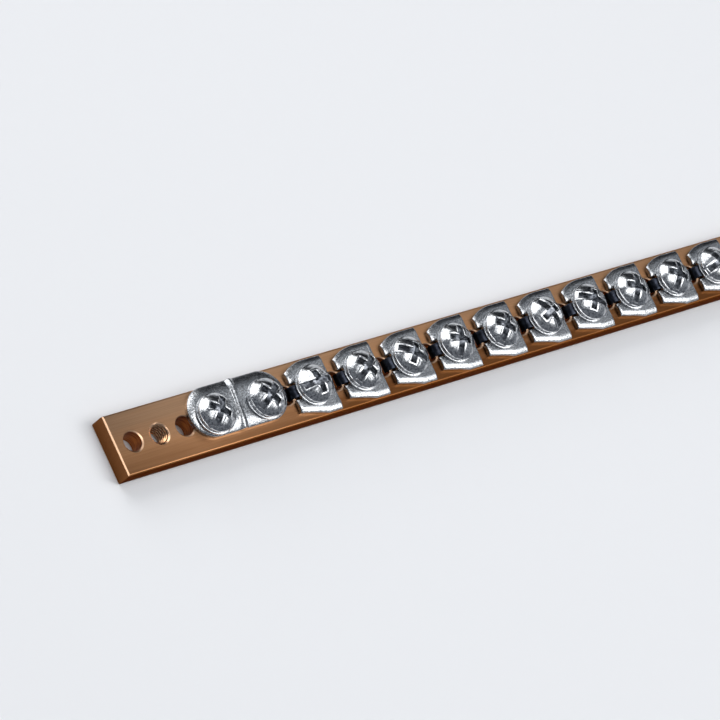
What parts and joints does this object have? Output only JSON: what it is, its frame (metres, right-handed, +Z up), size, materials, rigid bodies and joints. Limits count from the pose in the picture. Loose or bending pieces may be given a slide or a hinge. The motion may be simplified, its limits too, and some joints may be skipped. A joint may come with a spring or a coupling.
{
  "type": "rack grounding busbar",
  "caption": "Flat copper grounding busbar for a server rack, with a row of captive clamp plates under pan head terminal screws.",
  "frame": {"origin": "middle of the bar's underside", "axes": "+X along the bar towards its last hole, +Y across it, away from the tapered plates' steep side, +Z up out of the screw heads"},
  "size_m": [0.475, 0.015, 0.0105],
  "materials": {
    "copper": "drawn, satin",
    "plate_steel": "zinc plated, matt, pressed",
    "screw_steel": "nickel plated, bright"
  },
  "bodies": {
    "root": {"grounding_bar": "copper", "twin_clamp_plate": "plate_steel", "clamp_plate_01": "plate_steel", "clamp_plate_02": "plate_steel", "clamp_plate_03": "plate_steel", "clamp_plate_04": "plate_steel", "clamp_plate_05": "plate_steel", "clamp_plate_06": "plate_steel", "clamp_plate_07": "plate_steel", "clamp_plate_08": "plate_steel", "clamp_plate_09": "plate_steel", "clamp_plate_10": "plate_steel", "clamp_plate_11": "plate_steel", "clamp_plate_12": "plate_steel", "clamp_plate_13": "plate_steel", "clamp_plate_14": "plate_steel", "clamp_plate_15": "plate_steel", "clamp_plate_16": "plate_steel", "clamp_plate_17": "plate_steel", "clamp_plate_18": "plate_steel", "clamp_plate_19": "plate_steel", "clamp_plate_20": "plate_steel", "clamp_plate_21": "plate_steel", "clamp_plate_22": "plate_steel", "clamp_plate_23": "plate_steel", "clamp_plate_24": "plate_steel", "clamp_plate_25": "plate_steel", "clamp_plate_26": "plate_steel", "clamp_plate_27": "plate_steel", "terminal_screw_01": "screw_steel", "terminal_screw_02": "screw_steel", "terminal_screw_03": "screw_steel", "terminal_screw_04": "screw_steel", "terminal_screw_05": "screw_steel", "terminal_screw_06": "screw_steel", "terminal_screw_07": "screw_steel", "terminal_screw_08": "screw_steel", "terminal_screw_09": "screw_steel", "terminal_screw_10": "screw_steel", "terminal_screw_11": "screw_steel", "terminal_screw_12": "screw_steel", "terminal_screw_13": "screw_steel", "terminal_screw_14": "screw_steel", "terminal_screw_15": "screw_steel", "terminal_screw_16": "screw_steel", "terminal_screw_17": "screw_steel", "terminal_screw_18": "screw_steel", "terminal_screw_19": "screw_steel", "terminal_screw_20": "screw_steel", "terminal_screw_21": "screw_steel", "terminal_screw_22": "screw_steel", "terminal_screw_23": "screw_steel", "terminal_screw_24": "screw_steel", "terminal_screw_25": "screw_steel", "terminal_screw_26": "screw_steel", "terminal_screw_27": "screw_steel", "terminal_screw_28": "screw_steel", "terminal_screw_29": "screw_steel"}
  },
  "joints": []
}
